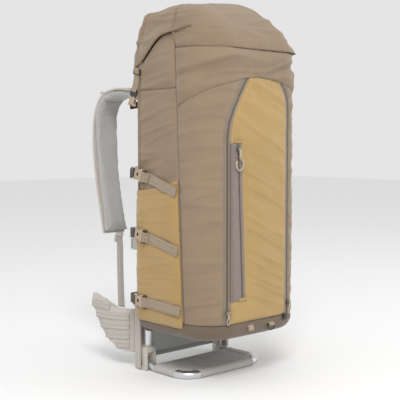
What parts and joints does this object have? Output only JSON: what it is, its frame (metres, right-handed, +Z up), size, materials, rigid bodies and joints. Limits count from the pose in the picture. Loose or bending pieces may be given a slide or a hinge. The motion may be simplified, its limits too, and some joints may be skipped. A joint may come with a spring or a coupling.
{
  "type": "hunting backpack",
  "caption": "Tall roll-top hunting backpack on a tubular frame with a folding load shelf, padded harness, side pockets, zips and compression straps.",
  "frame": {"origin": "on the ground, midway between the two frame feet, in the plane of the frame tubes", "axes": "+X to the wearer's right, -Y out of the bag's outer face, +Z up"},
  "size_m": [0.3804, 0.5025, 0.92],
  "materials": {
    "brown_cloth": "coated ripstop nylon, matt taupe brown",
    "dark_cloth": "heavy coated nylon, dark brown",
    "gold_cloth": "coated nylon, mustard gold",
    "stretch_cloth": "stretch woven nylon, mustard gold",
    "brown_webbing": "woven nylon webbing, taupe",
    "pale_webbing": "woven nylon webbing, pale stone",
    "pale_cloth": "padded nylon, pale stone",
    "panel_cloth": "coated nylon, pale blue grey",
    "zip_tape": "woven tape with moulded coil, taupe",
    "tan_plastic": "moulded acetal, tan",
    "black_plastic": "moulded acetal, black",
    "pale_plastic": "moulded acetal, pale grey",
    "frame_tube": "bare anodised tube",
    "pin_steel": "turned steel pin",
    "slider_metal": "dark plated zip hardware",
    "pull_cord": "cord loop in a moulded grip, light tan"
  },
  "bodies": {
    "pack": {"back_pad": "pale_cloth", "back_panel": "dark_cloth", "belt_tails": "pale_webbing", "bottom_panel": "dark_cloth", "buckle_sockets_left": "tan_plastic", "buckle_sockets_right": "tan_plastic", "center_panel": "gold_cloth", "compression_straps_left": "brown_webbing", "compression_straps_right": "brown_webbing", "frame_clips": "pale_plastic", "frame_crossbars": "frame_tube", "frame_feet": "pale_plastic", "frame_hoop": "frame_tube", "frame_panel": "panel_cloth", "front_panel_left": "brown_cloth", "front_panel_right": "brown_cloth", "hinge_pins": "pin_steel", "hip_wing_left": "pale_cloth", "hip_wing_right": "pale_cloth", "lash_tabs": "brown_webbing", "lifter_straps": "pale_webbing", "lower_straps": "pale_webbing", "lumbar_pad": "pale_cloth", "main_zip_left": "zip_tape", "main_zip_right": "zip_tape", "pocket_zip": "zip_tape", "ring_tab": "brown_webbing", "roll_sockets": "black_plastic", "shoulder_pad_left": "pale_cloth", "shoulder_pad_right": "pale_cloth", "side_panel_left": "brown_cloth", "side_panel_right": "brown_cloth", "side_pocket_left": "stretch_cloth", "side_pocket_right": "stretch_cloth", "strap_locks": "pale_plastic", "yoke_panel": "brown_cloth"},
    "rolled_top": {"roll_hood": "brown_cloth", "collar_roll": "brown_cloth", "roll_strap_left": "brown_webbing", "roll_strap_right": "brown_webbing", "roll_plug_left": "tan_plastic", "roll_plug_right": "tan_plastic"},
    "load_shelf": {"shelf_tube": "frame_tube", "shelf_sling": "pale_cloth"},
    "slider_left": {"main_slider_left": "slider_metal"},
    "pull_left": {"main_pull_left": "pull_cord"},
    "slider_right": {"main_slider_right": "slider_metal"},
    "pull_right": {"main_pull_right": "pull_cord"},
    "slider_pocket": {"pocket_slider": "slider_metal"},
    "pull_pocket": {"pocket_pull": "pull_cord"},
    "plug_left_top": {"buckle_plug_left_top": "tan_plastic"},
    "plug_left_middle": {"buckle_plug_left_middle": "tan_plastic"},
    "plug_left_bottom": {"buckle_plug_left_bottom": "tan_plastic"},
    "plug_right_top": {"buckle_plug_right_top": "tan_plastic"},
    "plug_right_middle": {"buckle_plug_right_middle": "tan_plastic"},
    "plug_right_bottom": {"buckle_plug_right_bottom": "tan_plastic"},
    "lash_ring": {"d_ring": "black_plastic"}
  },
  "joints": [
    {"name": "top_opening", "type": "hinge", "parent": "pack", "child": "rolled_top", "pos_m": [0, -0.2655, 0.7968], "axis": [1, 0, 0], "range_deg": [0, 100]},
    {"name": "shelf_fold", "type": "hinge", "parent": "pack", "child": "load_shelf", "pos_m": [0, 0.005, 0.02], "axis": [-1, 0, 0], "range_deg": [0, 28]},
    {"name": "main_zip_left_run", "type": "slide", "parent": "pack", "child": "slider_left", "axis": [0, 0, 1], "range_m": [0, 0.4]},
    {"name": "main_pull_left_swing", "type": "hinge", "parent": "slider_left", "child": "pull_left", "pos_m": [-0.10674, -0.26859, 0.181], "axis": [-0.9668, 0.2556, 0], "range_deg": [0, 120]},
    {"name": "main_zip_right_run", "type": "slide", "parent": "pack", "child": "slider_right", "axis": [0, 0, 1], "range_m": [0, 0.4]},
    {"name": "main_pull_right_swing", "type": "hinge", "parent": "slider_right", "child": "pull_right", "pos_m": [0.10674, -0.26859, 0.181], "axis": [-0.9668, -0.2556, 0], "range_deg": [0, 120]},
    {"name": "pocket_zip_run", "type": "slide", "parent": "pack", "child": "slider_pocket", "axis": [0.0431, 0, -0.9991], "range_m": [0, 0.335]},
    {"name": "pocket_pull_swing", "type": "hinge", "parent": "slider_pocket", "child": "pull_pocket", "pos_m": [-0.07413, -0.2728, 0.564], "axis": [-0.9991, 0, -0.0431], "range_deg": [0, 120]},
    {"name": "buckle_left_top_release", "type": "slide", "parent": "pack", "child": "plug_left_top", "axis": [0, -0.959, -0.2833], "range_m": [0, 0.024]},
    {"name": "buckle_left_middle_release", "type": "slide", "parent": "pack", "child": "plug_left_middle", "axis": [0, -0.9751, -0.2216], "range_m": [0, 0.024]},
    {"name": "buckle_left_bottom_release", "type": "slide", "parent": "pack", "child": "plug_left_bottom", "axis": [0, -0.9982, -0.0605], "range_m": [0, 0.024]},
    {"name": "buckle_right_top_release", "type": "slide", "parent": "pack", "child": "plug_right_top", "axis": [0, -0.959, -0.2833], "range_m": [0, 0.024]},
    {"name": "buckle_right_middle_release", "type": "slide", "parent": "pack", "child": "plug_right_middle", "axis": [0, -0.9751, -0.2216], "range_m": [0, 0.024]},
    {"name": "buckle_right_bottom_release", "type": "slide", "parent": "pack", "child": "plug_right_bottom", "axis": [0, -0.9982, -0.0605], "range_m": [0, 0.024]},
    {"name": "lash_ring_swing", "type": "hinge", "parent": "pack", "child": "lash_ring", "pos_m": [0.04, -0.2695, 0.134], "axis": [-1, 0, 0], "range_deg": [0, 110]}
  ]
}
